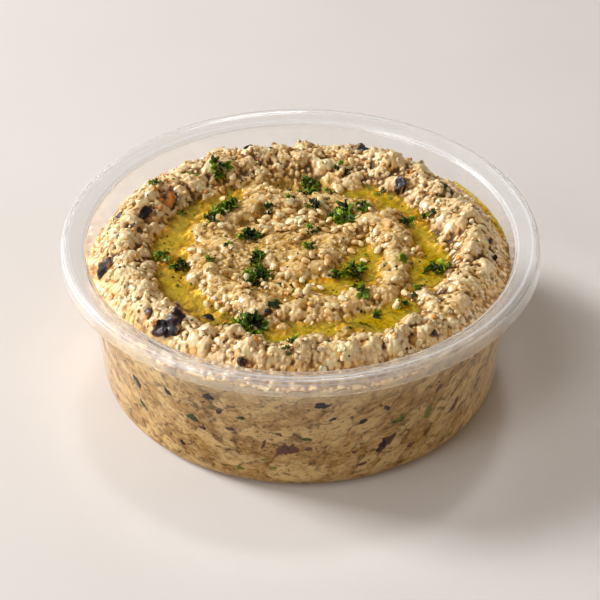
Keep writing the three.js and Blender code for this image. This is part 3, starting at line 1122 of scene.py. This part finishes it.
# %% [markdown]
# A flake is an oval with a ragged edge. It curls down along its length and up across its width, and
# five random waves crumple it. The last number of each point is how near it is to the edge.

# %% One leaf of skin
FLAKE_STEPS = 44
FLAKE_RINGS = 7


def ragged(count, roughness, seed):
    """A closed outline of radii near 1."""
    own = np.random.default_rng(seed)
    turns = np.linspace(0, 2 * math.pi, count, endpoint=False)
    waves = 0
    for k in range(2, 12):
        waves = waves + own.normal() / k ** 0.8 * np.sin(k * turns + own.uniform(0, 6.3))
    return np.clip(1 + roughness * waves, 0.45, 1.5)


def oval(steps, length, width, roughness, seed):
    """A ragged outline of that length and width."""
    turns = np.linspace(0, 2 * math.pi, steps, endpoint=False)
    smooth = 1 / np.hypot(np.cos(turns) / (length / 2), np.sin(turns) / (width / 2))
    return smooth * ragged(steps, roughness, seed)


def flake(length, width, curl, seed, thick=0.7):
    """A thin leaf of skin, rolled along its length and crumpled."""
    own = np.random.default_rng(seed + 50)
    outline = oval(FLAKE_STEPS, length, width, 0.16, seed)
    ways = own.uniform(-1.5, 1.5, (5, 2))
    starts = own.uniform(0, 6.3, 5)

    def rolled(x, y, share, turns):
        folds = sum(np.sin(kx * x + ky * y + start) for (kx, ky), start in zip(ways, starts))
        return -curl * x * x / length + 0.6 * curl * y * y / width + 0.24 * folds

    def top(x, y, share, turns):
        return rolled(x, y, share, turns) + thick / 2 * (1 - share ** 4)

    def bottom(x, y, share, turns):
        return rolled(x, y, share, turns) - thick / 2 * (1 - share ** 4)

    rings = np.arange(1, FLAKE_RINGS + 1) / FLAKE_RINGS
    above, below = np.repeat(rings, FLAKE_STEPS), np.repeat(rings[:-1], FLAKE_STEPS)
    edge = np.concatenate([[0], above, [0], below])
    return *lens(outline, top, bottom, FLAKE_RINGS), edge


# %% [markdown]
# The frame says where each flake is, and this table says how it lies. The largest is a few leaves
# that overlap, as a torn piece that has folded over.

# %% The flakes of the frame
# Azimuth, lift, length, width, curl and number of overlapping leaves of each flake.
FLAKE_LOOKS = {
    "skin_black_front": (40, 1.2, 8.4, 6.6, 0.30, 3),
    "skin_black_back": (12, 1.7, 6.6, 5.6, 0.45, 1),
    "skin_purple_back": (70, 1.3, 5.6, 4.6, 0.4, 1),
    "skin_purple_rim": (-30, 1.6, 8.0, 3.6, 0.3, 1),
    "skin_toasted_left": (60, 1.5, 9.0, 5.0, 0.25, 2),
    "skin_purple_left": (65, 1.4, 6.8, 3.6, 0.4, 1),
    "skin_black_left": (65, 1.4, 7.0, 4.4, 0.35, 1),
}
TO_THE_FRONT = Vector((0, -0.45, 0.3))


def torn_skin(pile, x, y, look, seed):
    """One full leaf, turned a little to the front, with smaller ones that overlap it."""
    azimuth, lift, length, width, curl, leaves = look
    own = np.random.default_rng(seed)
    facing = (slope(x, y, 4.0) + TO_THE_FRONT).normalized()
    for k in range(leaves):
        full = k == 0
        size = 1.0 if full else own.uniform(0.5, 0.7)
        away = 0.0 if full else own.uniform(0.22, 0.36) * length
        bearing = math.radians(azimuth + 360 * k / max(leaves - 1, 1) + own.uniform(-30, 30))
        px, py = x + away * math.cos(bearing), y + away * math.sin(bearing)
        turn = 0.0 if full else own.uniform(-70, 70)
        points, faces, edge = flake(length * size, width * size, curl, seed + 7 * k)
        tips = (0, 0) if full else own.uniform(-24, 24, 2)
        z = float(sample(HEIGHTS, px, py)) + lift + (0 if full else 0.3)
        pile.put(laid(points, px, py, z, azimuth + turn, *tips, facing), faces, edge)


for seed, (node, (x, y)) in enumerate(zip(FLAKES, SPOTS)):
    pile = Pile()
    torn_skin(pile, x, y, FLAKE_LOOKS[node], seed + 3)
    toasted = node == "skin_toasted_left"
    finish, slot = (TOASTED_FINISH, "skin_toasted") if toasted else (SKIN_FINISH, "skin_dark")
    pile.build(node.replace("skin", "flake"), finish, slot, [node])

# %% [markdown]
# Smaller shreds of skin lie half sunk on the ridges and between the lumps. Each is one small leaf.

# %% Shreds of skin
# Place x and y, length, width and azimuth of each shred.
SHREDS = [
    (-55, 14, 4.0, 2.6, 60), (-16.5, 46, 3.4, 2.2, 20), (37, 39, 4.8, 1.6, -35),
    (46, 23, 8.0, 1.8, -55), (55.5, -2, 2.6, 1.8, 90), (36, -45, 4.4, 2.2, 20),
    (56.5, -7, 2.2, 1.6, 80), (-34, -31, 4.6, 1.8, -30), (-25.5, -35.5, 4.0, 2.4, -20),
    (-38, 20, 4.2, 2.6, 80), (-50, 4, 2.2, 1.6, 30), (-9, -35, 2.4, 1.2, 10),
    (52, 10, 2.4, 1.6, 70), (21, 48, 2.6, 1.6, 10), (-42, -37, 2.4, 1.6, 40),
    (4, -46, 2.0, 1.2, -20),
]


def shreds():
    pile = Pile()
    for seed, (x, y, length, width, azimuth) in enumerate(SHREDS):
        points, faces, edge = flake(length, width, 0.3, seed + 90, 0.8)
        z = ground(x, y) + 0.35
        pile.put(laid(points, x, y, z, azimuth, normal=slope(x, y)), faces, edge)
    pile.build("skin_shreds", SKIN_FINISH, "skin_dark")


shreds()

# %% [markdown]
# ## Sesame seeds
# A sesame seed is a flat drop about 3 mm long. Most lie on the middle mound and the second ridge,
# flat on the dip but not quite, and a few have slid into the oil. One seed is made and laid many
# times, and it is big enough on the dip to need its drop shape and its highlight.

# %% One seed
def seed_shape(length=2.9, width=1.95, thick=1.3, rows=9, columns=12):
    """Points and triangle rows of a drop that lies along x, blunt at one end."""
    angle = np.linspace(0, math.pi, rows)[1:-1, None]
    around = np.linspace(0, 2 * math.pi, columns, endpoint=False)
    along = np.cos(angle)
    girth = np.sin(angle) * (1 - 0.30 * along)
    x = length / 2 * along + 0 * around
    y, z = width / 2 * girth * np.cos(around), thick / 2 * girth * np.sin(around)
    points = np.stack([x, y, z], axis=-1).reshape(-1, 3)
    points = np.vstack([points, [length / 2, 0, 0], [-length / 2, 0, 0]])
    quads = grid_faces(rows - 2, columns, True)
    here, after = np.arange(columns), (np.arange(columns) + 1) % columns
    tip, tail = len(points) - 2, len(points) - 1
    last = (rows - 3) * columns
    faces = [*split(*quads.T), np.stack([here, 0 * here + tip, after], axis=1)[:, ::-1]]
    faces.append(np.stack([last + here, last + after, 0 * here + tail], axis=1)[:, ::-1])
    return points, np.vstack(faces)[:, ::-1]


# %% [markdown]
# Hulled seeds are cream, some toasted at one side. They lie in loose patches with a few strays, so
# the table gives each patch's middle and how many seeds fall round it.

# %% Seeds' finish and places
SEED_TAN = srgb(238, 186, 108)
SEED_GOLD = srgb(253, 218, 150)
SEED_PALE = srgb(255, 238, 192)
SEED_TOASTED = srgb(226, 164, 80)


def hulled():
    finish = Finish("sesame")
    tint, patch = finish.attribute("tint"), finish.noise(0.8, detail=2.0)
    tone = finish.ramp(tint, (0.0, SEED_TAN), (0.4, SEED_GOLD), (1.0, SEED_PALE))
    tone = finish.mix(finish.between(patch, 0.54, 0.74) * 0.4, tone, SEED_TOASTED)
    shader = finish.principled(
        Base_Color=tone, Roughness=0.34, Coat_Weight=0.3, Coat_Roughness=0.1,
        Subsurface_Weight=0.15, Subsurface_Radius=(1.0, 0.6, 0.3), Subsurface_Scale=0.8 * MM,
        Normal=finish.bump(patch, 0.3, 0.2),
    )
    return finish.show(shader)


# Middle x and y of each patch of seeds, its half width, and how many lie in it.
SEED_PATCHES = [
    (-3, 8, 8, 30), (17, 1, 8, 18), (-14, -22, 6, 10), (0, -23, 7, 10), (-10, 23, 8, 11),
    (6, 16, 7, 9), (-25, 6, 5, 4), (27, -27, 5, 4), (-26, -33, 4, 2), (9, -33, 6, 5),
    (24, 12, 5, 5), (33, -6, 4, 3), (14, 34, 6, 5), (-24, 28, 5, 3), (-30, -8, 4, 2),
    (4, -12, 6, 6),
]
# A seed rests on the highest of five places under it.
FOOTING = ((0, 0), (1, 0), (-1, 0), (0, 1), (0, -1))
SEED_LIFT = 0.62
SEED_TIP = 16


def sesame():
    pile = Pile()
    shape, faces = seed_shape()
    for mid_x, mid_y, spread, count in SEED_PATCHES:
        for _ in range(count):
            x, y = mid_x + spread * random.normal() * 0.55, mid_y + spread * random.normal() * 0.55
            scale = random.uniform(0.86, 1.08)
            tilt, lean = random.normal(0, SEED_TIP), random.normal(0, SEED_TIP)
            z = max(ground(x + dx, y + dy) for dx, dy in FOOTING) + SEED_LIFT * scale
            where = laid(shape * scale, x, y, z, random.uniform(0, 360), tilt, lean, slope(x, y))
            pile.put(where, faces, random.random())
    pile.build("sesame_seeds", hulled(), "sesame")


sesame()

# %% [markdown]
# ## Parsley
# Curly parsley, chopped: each sprig is a few leaflets with lobes, teeth and strongly waved edges.
# A wave that grows towards the edge makes the curl. Flat torn leaves use the same shape with less
# curl. Every sprig has its own place, size and kind, as a cook would drop it.

# %% One leaflet
LEAF_STEPS = 42
LEAF_RINGS = 4
LEAF_HALF_THICK = 0.10


def leaflet(length, curl, lobes, own):
    """Points and triangle rows of one leaflet, its stem at the origin and its tip along x."""
    turns = np.linspace(0, 2 * math.pi, LEAF_STEPS, endpoint=False)
    fan = np.abs(np.cos(turns / 2)) ** 1.1
    phase = own.uniform(-0.3, 0.3)
    notch = (0.5 + 0.5 * np.cos(lobes * (turns - math.pi) + phase)) ** 3
    nick = (0.5 + 0.5 * np.cos(3 * lobes * turns + own.uniform(0, 6.3))) ** 2
    outline = length * (0.09 + 0.91 * fan * (1 - 0.50 * notch) * (1 - 0.20 * nick))
    first, second = own.uniform(0, 6.3, 2)

    def waved(x, y, share, turns):
        wave = 0.22 * np.sin(lobes * turns + first) + 0.10 * np.sin(2 * lobes * turns + second)
        droop = -0.10 * (x / length) ** 2
        return length * (curl * wave * share ** 2 + droop)

    def top(x, y, share, turns):
        return waved(x, y, share, turns) + LEAF_HALF_THICK * (1 - share ** 3)

    def bottom(x, y, share, turns):
        return waved(x, y, share, turns) - LEAF_HALF_THICK * (1 - share ** 3)

    return lens(outline, top, bottom, LEAF_RINGS)


# %% [markdown]
# The sprigs' places are x and y from the tub's middle, then the sprig's width and its kind: curly
# sprigs stand up off the dip, flat ones lie on it, and sunk ones are half pressed in.

# %% Sprigs
# Place x and y, width and kind of each sprig.
SPRIGS = [
    (-45, 25.5, 6, "curly"), (-25, 33.5, 9, "curly"), (-33, 31, 5, "sunk"),
    (2.5, 34.5, 7, "curly"), (3, 29.5, 9, "curly"), (12.7, 38, 6, "curly"),
    (-22, 18, 10, "curly"), (-26, 12.5, 9, "curly"), (-10, 15.5, 6, "curly"),
    (-3.5, 18, 5, "curly"), (4, 17, 6, "curly"), (12.5, 12, 12, "curly"),
    (19.5, 14.5, 7, "curly"), (33, 11.5, 9, "flat"), (38.5, 13, 5, "curly"), (24, 27, 6, "sunk"),
    (9, 25.5, 5, "curly"), (-15.5, 2, 8, "curly"), (3, 3.5, 6, "curly"), (2.5, -4.5, 5, "curly"),
    (-36, 17, 5, "sunk"), (-40, -7, 7, "curly"), (-35, -12, 7, "curly"), (-26, -10.5, 5, "flat"),
    (-21, -4.5, 4, "flat"), (-13, -10, 7, "curly"), (-13, -16.5, 10, "curly"),
    (-6, -20, 4, "sunk"), (-2, -23, 5, "flat"), (15, -15, 9, "curly"), (10, -17, 6, "curly"),
    (16.5, -21.5, 6, "flat"), (17.5, -27.5, 7, "flat"), (30, -9.5, 6, "flat"),
    (24, -12, 3, "sunk"), (40, -13, 9, "curly"), (36, -14, 6, "flat"), (33, -25.5, 6, "curly"),
    (28.5, -29.5, 5, "curly"), (21, -34, 6, "flat"), (18, -38.5, 4, "flat"),
    (-6.5, -31.5, 7, "flat"), (-14, -40.5, 12, "curly"), (-20, -38, 5, "sunk"),
    (-2.5, -50, 5, "curly"), (-3, -54.5, 4, "curly"), (-25.5, -40, 6, "sunk"),
    (44, 22, 6, "sunk"),
]
LEAF_DEEP_AND_SHADED = srgb(28, 42, 0)
LEAF_MID = srgb(112, 146, 0)
LEAF_PALE_AND_LIT = srgb(222, 240, 70)


def herb_green():
    finish = Finish("parsley")
    tint, vein = finish.attribute("tint"), finish.noise(0.7, detail=3.0)
    # Leaflets run from deep green at the stem, as painted shade, to pale green at the edge, as
    # painted light, with random tone.
    tone = finish.ramp(tint, (0.15, LEAF_DEEP_AND_SHADED), (0.65, LEAF_MID), (1.0, LEAF_PALE_AND_LIT))
    tone = finish.mix(finish.between(vein, 0.45, 0.72) * 0.5, tone, LEAF_DEEP_AND_SHADED)
    shader = finish.principled(
        Base_Color=tone, Roughness=0.38, IOR=1.28, Coat_Weight=0.10, Coat_Roughness=0.08,
        Normal=finish.bump(vein, 0.5, 0.3),
    )
    return finish.show(shader)


# Curl, lift, length of a leaflet against a curly one's, and how far its first leaflet stands up.
KINDS = {
    "curly": (1.5, 0.7, 1.0, 0.6),
    "flat": (0.5, 0.3, 1.35, 0.0),
    "sunk": (0.8, 0.0, 1.35, 0.0),
}
SHRUNK = 0.82


def sprig(pile, x, y, width, kind, own):
    """A curly sprig is a ring of leaflets; a flat one is two, and a sunk one lies in the dip."""
    curl, lift, longer, stands = KINDS[kind]
    count = 3 + round(width * 0.38) if kind == "curly" else 2
    base = own.uniform(0, 360)
    width *= SHRUNK
    for k in range(count):
        length = width * own.uniform(0.26, 0.40) * longer
        azimuth = base + 360 * k / count + own.uniform(-30, 30)
        out = 0.0 if k == 0 else width * own.uniform(0.12, 0.34)
        px = x + out * math.cos(math.radians(azimuth))
        py = y + out * math.sin(math.radians(azimuth))
        points, faces = leaflet(length, curl, int(own.integers(4, 7)), own)
        tilt = -own.uniform(5, 50) if kind == "curly" else own.uniform(-12, 12)
        z = ground(px, py) + lift + (stands if k == 0 else 0.0)
        where = laid(points, px, py, z, azimuth, tilt, own.uniform(-25, 25), slope(px, py, 2.0))
        # The tint grows towards the leaflet's edge: painted shade in the sprig's middle and painted
        # light at its edges.
        edge = np.hypot(points[:, 0], points[:, 1]) / length
        pile.put(where, faces, np.clip(0.6 * edge + own.uniform(-0.2, 0.4), 0, 1))


TINY_BITS = 40


def parsley():
    pile, own = Pile(), np.random.default_rng(5)
    for x, y, width, kind in SPRIGS:
        sprig(pile, x, y, width, kind, own)
    for _ in range(TINY_BITS):
        sprig(pile, *on_disc(own, POOLS_R), own.uniform(1.0, 2.0), "flat", own)
    pile.build("parsley_leaves", herb_green(), "parsley")


parsley()

# %% [markdown]
# ## Pepper
# Specks of ground pepper float in the oil and stick to the curds, and one peppercorn lies at the
# front. A speck is a ball with few faces, dented by three random waves, because at a few tenths of a
# millimetre only its broken outline shows.

# %% Pepper specks
def ball(rows, columns):
    """A body about 1 in radius, a little narrower at one end."""
    return seed_shape(2.0, 2.0, 2.0, rows, columns)


def pebble(own, shape, roughness):
    """A ball dented at random."""
    dents = own.normal(size=(3, 3)) * roughness
    lumpy = 1 + np.sin(shape @ dents.T * 3).sum(axis=1, keepdims=True) * roughness
    return shape * lumpy


def peppery():
    finish = Finish("pepper")
    fleck = finish.noise(2.0, detail=2.0)
    tone = finish.mix(finish.between(fleck, 0.4, 0.65), srgb(30, 20, 14), srgb(84, 58, 34))
    return finish.show(finish.principled(Base_Color=tone, Roughness=0.14))


PEPPERCORN = (-15.7, -56.0)
PEPPERCORN_R = 1.25
PEPPER_TRIES = 520
PEPPER_REACH = 58


def pepper():
    pile, own = Pile(), np.random.default_rng(8)
    shape, faces = ball(5, 6)
    for _ in range(PEPPER_TRIES):
        x, y = on_disc(own, PEPPER_REACH)
        in_oil = sample(WET, x, y) > 0.5
        if not in_oil and own.random() < 0.45:
            continue
        size = own.uniform(0.10, 0.42)
        points = pebble(own, shape, 0.3) * size * own.uniform(0.5, 1.2, 3)
        pile.put(laid(points, x, y, ground(x, y) + 0.05, own.uniform(0, 360)), faces, own.random())
    shape, faces = ball(14, 20)
    x, y = PEPPERCORN
    pile.put(laid(shape * PEPPERCORN_R, x, y, ground(x, y) + 0.5), faces, 0.0)
    pile.build("pepper_specks", peppery(), "pepper")


pepper()

# %% [markdown]
# ## Loose grains
# Loose grains of pulp stand free of the mass, which the height field can't show because it has one
# height at each place. They gather on the steep sides of lumps. A thousand bodies are worked out at
# once as arrays, which is much faster than a loop over them.

# %% Loose grains
def turned_on_slope(x, y, spin):
    """For many places at once, the three axes of a body that stands on the slope there."""
    span = 0.6
    dx = (sample(HEIGHTS, x + span, y) - sample(HEIGHTS, x - span, y)) / (2 * span)
    dy = (sample(HEIGHTS, x, y + span) - sample(HEIGHTS, x, y - span)) / (2 * span)
    up = np.stack([-dx, -dy, np.ones_like(dx)], axis=1)
    up /= np.linalg.norm(up, axis=1, keepdims=True)
    along = np.stack([np.cos(spin), np.sin(spin), 0 * spin], axis=1)
    along -= up * (along * up).sum(axis=1, keepdims=True)
    along /= np.linalg.norm(along, axis=1, keepdims=True)
    return np.stack([along, np.cross(up, along), up], axis=2)


GRAIN_TRIES = 5200
GRAINS_R = 59.5
GRAIN_SIZES = (0.62, 1.05)


def loose_grains():
    """Round grains half sunk in the dip's surface, most of them where it is steep."""
    own = np.random.default_rng(9)
    shape, faces = ball(6, 10)
    r = np.sqrt(own.uniform(0, GRAINS_R ** 2, GRAIN_TRIES))
    a = own.uniform(0, 2 * math.pi, GRAIN_TRIES)
    x, y = r * np.cos(a), r * np.sin(a)
    axes = turned_on_slope(x, y, own.uniform(0, 2 * math.pi, GRAIN_TRIES))
    dry = 1 - np.clip(2 * sample(np.maximum(WET, UNDER_FLAKES), x, y), 0, 1)
    kept = own.random(GRAIN_TRIES) < (0.06 + 0.9 * (1 - axes[:, 2, 2])) * dry
    x, y, axes = x[kept], y[kept], axes[kept]
    count = len(x)
    long = own.uniform(*GRAIN_SIZES, (count, 1))
    sizes = long * np.hstack([np.ones((count, 1)), own.uniform(0.72, 0.98, (count, 2))])
    dents = np.einsum("pk,nqk->npq", shape, own.normal(size=(count, 3, 3)) * 0.4)
    lumpy = 1 + 0.06 * np.sin(dents * 2.4).sum(axis=2, keepdims=True)
    bodies = np.einsum("nij,npj->npi", axes, shape[None] * lumpy * sizes[:, None])
    lift = sizes[:, 2] * own.uniform(-0.35, 0.25, count)
    centres = np.stack([x, y, sample(HEIGHTS, x, y)], axis=1) + axes[:, :, 2] * lift[:, None]
    points = (bodies + centres[:, None]).reshape(-1, 3)
    rows = (faces[None] + np.arange(count)[:, None, None] * len(shape)).reshape(-1, 3)
    shade = np.clip(sample(TINT, x, y) * 0.4 + own.uniform(0.20, 0.60, count), 0.25, 0.9)
    shade[own.random(count) < 0.06] = 0.97
    # Each grain's crease value rises towards its underside, so the finish paints it darker below as
    # painted shade and paler on top as painted light.
    side = np.clip(0.40 - 0.08 * shape[:, 2], 0, 1)
    values = {
        "tint": np.repeat(shade, len(shape)),
        "crease": np.tile(side, count),
        "oiled": np.repeat(sample(FILM, x, y) * 0.5, len(shape)),
    }
    print(f"{count} grains stay of {GRAIN_TRIES} tried")
    build("loose_grains", points, [rows], DIP_FINISH, (), values)


loose_grains()

# %% [markdown]
# ## Bits against the wall
# Pressed flat against the clear wall, bits of skin and herb show from outside. Each is a lens bent
# round the wall, its outer face just in the plastic like the dip's own. The front ones have their
# places, and the rest of the wall gets the same mix at random.

# %% Bits of skin and herb on the wall
# Azimuth in degrees, height, length, width and turn of each bit of skin that has its place.
WALL_SKIN = [
    (-138, 23.5, 5, 3, -60), (-126, 27, 4, 2, -50), (-116, 18.5, 3, 2, 20), (-114, 31, 4, 2.5, 0),
    (-108, 21, 3.5, 2, 10), (-111, 26.5, 2.5, 2, 30), (-99.5, 17, 5, 1, 70),
    (-93.5, 15.5, 8, 5, 12), (-95.5, 21.5, 3.5, 1.4, -20), (-88, 16, 3, 2, 0),
    (-85, 32.5, 5, 3, 0), (-82, 27, 2.5, 1.5, 30), (-74, 24.5, 3, 2, 10), (-68, 27.7, 3, 2, -20),
    (-67.5, 14, 7, 5, 25), (-76, 13, 2, 1.5, 0), (-73.5, 7.7, 3.5, 1.6, 15),
    (-59.5, 9.5, 3, 2, 40), (-52, 27.5, 3.5, 2, 60), (-45, 16.5, 6, 3, 60), (-123, 9, 3, 2, -30),
    (-157, 23, 5, 3, -70),
]
WALL_HERB = [
    (-118.7, 21, 4.5, 3, -10), (-137, 15.5, 3.5, 2, -40), (-105, 26, 4, 1.6, 10),
    (-88.5, 19.8, 3, 1.5, 0), (-64, 21.5, 4, 2.5, 20), (-55, 19.5, 5, 3, 60),
    (-106, 6, 3, 1.6, 10), (-99.5, 11, 3, 1, 20), (-97, 8, 3, 1, 0),
]


def wall_bit(pile, azimuth, height, length, width, turn, seed):
    """One bit, made flat, turned, and then bent round the wall."""
    points, faces = lens(
        oval(16, length, width, 0.30, seed),
        lambda x, y, share, turns: 0.10 - 0.25 * share ** 4,
        lambda x, y, share, turns: -0.9 + 0.75 * share ** 4,
        3,
    )
    angle = math.radians(turn)
    along = points[:, 0] * math.cos(angle) - points[:, 1] * math.sin(angle)
    z = height + points[:, 0] * math.sin(angle) + points[:, 1] * math.cos(angle)
    r = wall_radius(z) + INTO_PLASTIC + points[:, 2]
    bearing = math.radians(azimuth) + along / BASE_R
    bent = np.stack([r * np.cos(bearing), r * np.sin(bearing), z], axis=1)
    pile.put(bent, faces, (seed % 10) / 10)


def wall_bits(name, placed, count, lengths, finish, slot, seed):
    """The placed bits, then count more at the sides and back, then twice as many tiny ones."""
    pile, own = Pile(), np.random.default_rng(seed)
    for k, bit in enumerate(placed):
        wall_bit(pile, *bit, seed + k)
    for k in range(count):
        length = own.uniform(*lengths)
        azimuth, height = own.uniform(-20, 200), own.uniform(6, 31)
        width, turn = length * own.uniform(0.35, 0.8), own.uniform(-80, 80)
        wall_bit(pile, azimuth, height, length, width, turn, seed + 50 + k)
    for k in range(count * 2):
        length = own.uniform(0.6, 1.6)
        azimuth, height, turn = own.uniform(0, 360), own.uniform(5, 32), own.uniform(-80, 80)
        wall_bit(pile, azimuth, height, length, length * 0.6, turn, seed + 200 + k)
    pile.build(name, finish, slot)


def dulled(name, dark, light):
    """What is pressed in dip and plastic has lost its gloss and some of its depth."""
    finish = Finish(name)
    patch = finish.noise(0.5, detail=3.0) + finish.attribute("tint") * 0.5
    tone = finish.mix(finish.between(patch, 0.55, 0.85), dark, light)
    return finish.show(finish.principled(Base_Color=tone, Roughness=0.6, Specular_IOR_Level=0.05))


DULL_SKIN = dulled("wall_skin", srgb(30, 8, 2), srgb(104, 68, 56))
DULL_HERB = dulled("wall_herb", srgb(46, 56, 8), srgb(112, 118, 34))
wall_bits("wall_skin", WALL_SKIN, 30, (2.0, 6.5), DULL_SKIN, "skin_dark", 400)
wall_bits("wall_herb", WALL_HERB, 14, (1.8, 4.5), DULL_HERB, "parsley", 700)
